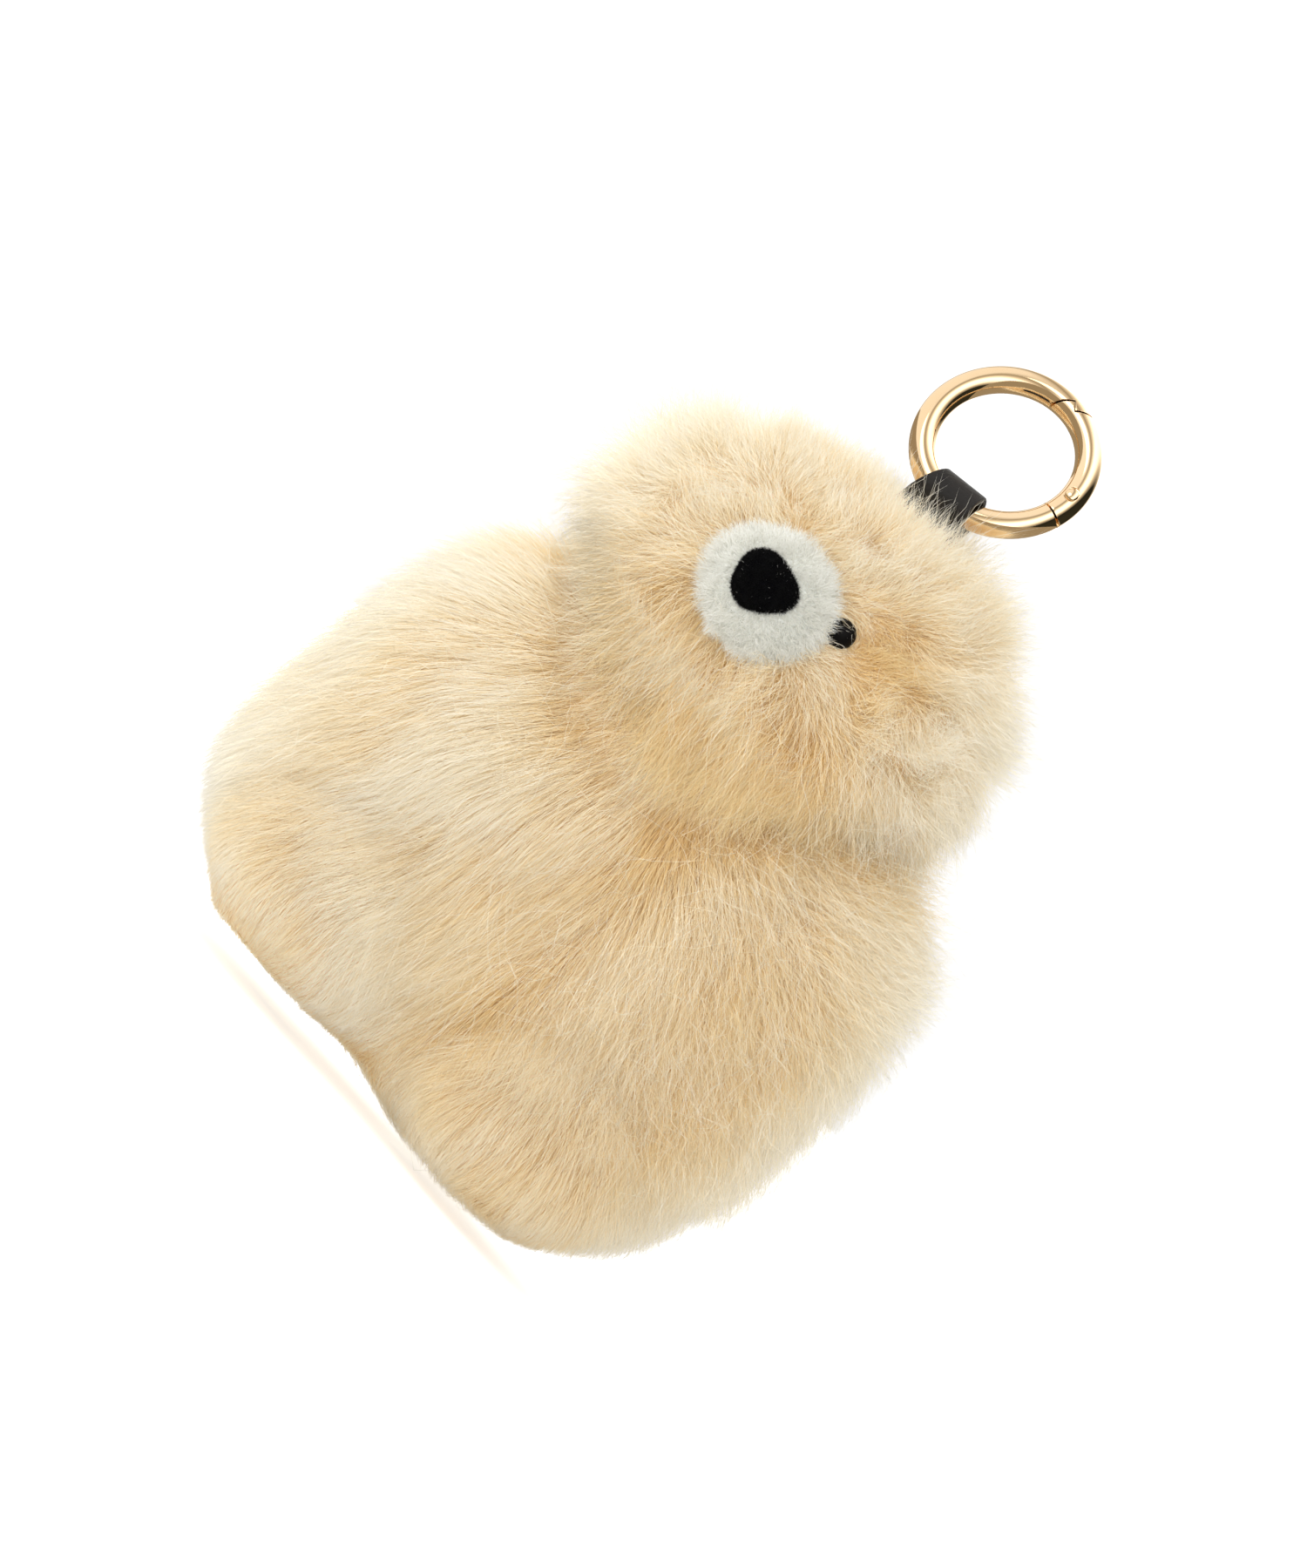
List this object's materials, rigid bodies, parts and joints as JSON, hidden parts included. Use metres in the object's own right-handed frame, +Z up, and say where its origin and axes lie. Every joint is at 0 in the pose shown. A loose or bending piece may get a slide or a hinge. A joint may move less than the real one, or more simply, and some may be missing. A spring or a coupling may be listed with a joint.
{
  "type": "plush keychain",
  "caption": "Soft long-pile figure with a felt nose, hung by a leather strap from a round metal ring with a sprung gate.",
  "frame": {"origin": "on the plane of the soles, under the middle of the seat", "axes": "+Z up from the seat to the ring, -Y is the front, +X is to the right of someone facing the front"},
  "size_m": [0.109, 0.0757, 0.175],
  "materials": {
    "plush_fabric": "long pile, cream",
    "stuffing": "loose white fibre",
    "muzzle_pile": "short pile, white",
    "black_felt": "matt felt",
    "thread": "spun thread",
    "eye_bead": "polished",
    "washer_plastic": "moulded",
    "leather": "dark brown, fine grain",
    "ring_gold": "polished light gold plating",
    "spring_steel": "plain steel"
  },
  "bodies": {
    "torso": {"body_skin_front": "plush_fabric", "body_skin_back": "plush_fabric", "body_stuffing": "stuffing", "leg_skin_left": "plush_fabric", "leg_skin_right": "plush_fabric", "leg_stuffing_left": "stuffing", "leg_stuffing_right": "stuffing", "neck_thread": "thread"},
    "head": {"head_skin_front": "plush_fabric", "head_skin_back": "plush_fabric", "head_stuffing": "stuffing", "muzzle_patch": "muzzle_pile", "muzzle_stuffing": "stuffing", "nose_felt": "black_felt", "eye_left": "eye_bead", "eye_right": "eye_bead", "eye_washer_left": "washer_plastic", "eye_washer_right": "washer_plastic", "strap_tail": "leather", "strap_stitch": "thread"},
    "strap": {"strap_loop": "leather"},
    "ring": {"ring_body": "ring_gold"},
    "gate": {"ring_gate": "ring_gold", "gate_rivet": "ring_gold", "gate_spring": "spring_steel"},
    "plunger": {"gate_plunger": "spring_steel"}
  },
  "joints": [
    {"name": "neck_turn", "type": "hinge", "parent": "torso", "child": "head", "pos_m": [-0.0055, 0.002, 0.0765], "axis": [0, 0, 1], "range_deg": [-15, 15], "stiffness_Nm_per_rad": 0.01},
    {"name": "strap_flex", "type": "hinge", "parent": "head", "child": "strap", "pos_m": [-0.00325, 0.00163, 0.13596], "axis": [0.9539, -0.2636, 0.1436], "range_deg": [-36, 36], "stiffness_Nm_per_rad": 0.02},
    {"name": "ring_swing", "type": "hinge", "parent": "strap", "child": "ring", "pos_m": [-0.00444, 0.00196, 0.14447], "axis": [0.9539, -0.2636, 0.1436], "range_deg": [-62, 100]},
    {"name": "gate_open", "type": "hinge", "parent": "ring", "child": "gate", "pos_m": [0.00929, 0.00369, 0.16092], "axis": [-0.2978, -0.891, 0.3426], "range_deg": [0, 35], "stiffness_Nm_per_rad": 0.02},
    {"name": "plunger_slide", "type": "slide", "parent": "gate", "child": "plunger", "axis": [-0.2872, 0.4259, 0.858], "range_m": [0, 0.00041], "deforming": ["gate_spring"]}
  ],
  "couplings": [
    {"joint": "plunger_slide", "follows": "gate_open", "m_per_rad": 0.00065}
  ]
}
